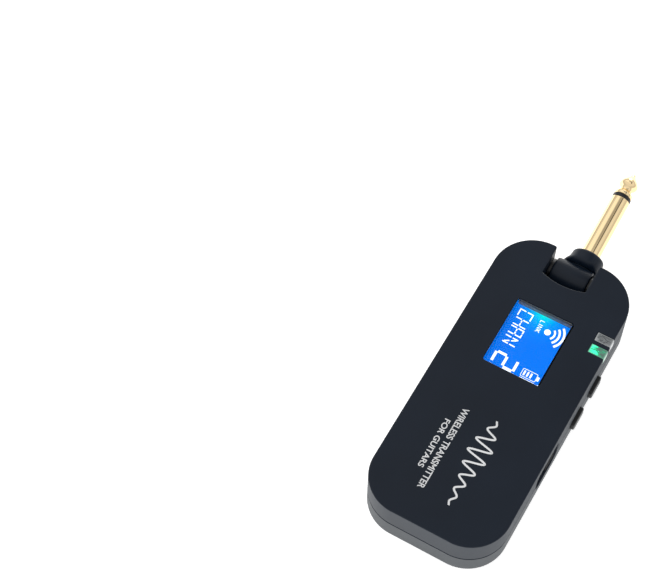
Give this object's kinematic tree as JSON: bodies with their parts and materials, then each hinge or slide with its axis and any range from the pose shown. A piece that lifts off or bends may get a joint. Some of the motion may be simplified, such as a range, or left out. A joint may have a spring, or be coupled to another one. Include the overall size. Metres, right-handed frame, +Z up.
{
  "type": "wireless instrument transmitter",
  "caption": "Pocket wireless guitar transmitter: rounded black housing with a lit display, side buttons, charging contacts and a gold jack plug on a folding swivel.",
  "frame": {"origin": "centre of the housing's underside, on the plane it rests on", "axes": "+X towards the side with the buttons, +Y along the housing towards the plug, +Z up through the display"},
  "size_m": [0.0463, 0.1435, 0.0174],
  "materials": {
    "satin_black_plastic": "satin, faintly blue black",
    "black_moulding": "satin black",
    "gold_plate": "gold plated, polished",
    "clear_acrylic": "clear and glossy",
    "lcd_blue": "lit blue display, opaque",
    "light_diffuser": "white diffusing plastic",
    "zinc_steel": "zinc plated",
    "board_green": "green solder mask on glass epoxy",
    "chip_epoxy": "moulded epoxy",
    "cell_foil": "laminated foil pouch",
    "grey_foam": "closed-cell foam",
    "white_nylon": "natural nylon or ceramic",
    "red_insulation": "flexible wire insulation",
    "label_vinyl": "blank grey vinyl",
    "polyimide_film": "amber film"
  },
  "bodies": {
    "housing": {"upper_shell": "satin_black_plastic", "lower_shell": "satin_black_plastic", "blank_rating_label": "label_vinyl", "display_window": "clear_acrylic", "lcd_glass": "lcd_blue", "lcd_backlight": "light_diffuser", "lcd_holder": "black_moulding", "lcd_flex": "polyimide_film", "light_pipe_link": "clear_acrylic", "light_pipe_battery": "clear_acrylic", "led_link": "light_diffuser", "led_battery": "light_diffuser", "channel_up_tact_switch": "chip_epoxy", "channel_down_tact_switch": "chip_epoxy", "power_switch": "zinc_steel", "main_board": "board_green", "contact_board": "board_green", "rf_shield_can": "zinc_steel", "radio_chip": "chip_epoxy", "controller_chip": "chip_epoxy", "audio_converter_chip": "chip_epoxy", "chip_antenna": "white_nylon", "battery_cell": "cell_foil", "battery_foam": "grey_foam", "battery_connector": "white_nylon", "charge_contact_1": "gold_plate", "charge_contact_2": "gold_plate", "charge_contact_3": "gold_plate", "charge_contact_4": "gold_plate", "battery_lead": "red_insulation", "plug_coax_lead": "black_moulding", "housing_screw_near_left": "zinc_steel", "housing_screw_near_right": "zinc_steel", "housing_screw_far_left": "zinc_steel", "housing_screw_far_right": "zinc_steel", "board_screw_1": "zinc_steel", "board_screw_2": "zinc_steel", "hinge_bush_left": "black_moulding", "hinge_bush_right": "black_moulding", "friction_washer_left": "black_moulding", "friction_washer_right": "black_moulding"},
    "plug_arm": {"plug_knuckle": "satin_black_plastic", "plug_sleeve": "gold_plate", "plug_insulator": "black_moulding", "plug_tip": "gold_plate", "plug_ring_nut": "gold_plate"},
    "channel_up": {"channel_up_button": "black_moulding", "channel_up_plunger": "white_nylon"},
    "channel_down": {"channel_down_button": "black_moulding", "channel_down_plunger": "white_nylon"},
    "power_knob": {"power_slider": "black_moulding"}
  },
  "joints": [
    {"name": "plug_hinge", "type": "hinge", "parent": "housing", "child": "plug_arm", "pos_m": [0, 0.0484, 0.0087], "axis": [1, 0, 0], "range_deg": [-108, 92]},
    {"name": "channel_up_press", "type": "slide", "parent": "housing", "child": "channel_up", "axis": [-1, 0, 0], "range_m": [0, 0.0003], "stiffness_N_per_m": 4000, "springref_m": -0.0001},
    {"name": "channel_down_press", "type": "slide", "parent": "housing", "child": "channel_down", "axis": [-1, 0, 0], "range_m": [0, 0.0003], "stiffness_N_per_m": 4000, "springref_m": -0.0001},
    {"name": "power_slide", "type": "slide", "parent": "housing", "child": "power_knob", "axis": [0, -1, 0], "range_m": [0, 0.0025]}
  ]
}
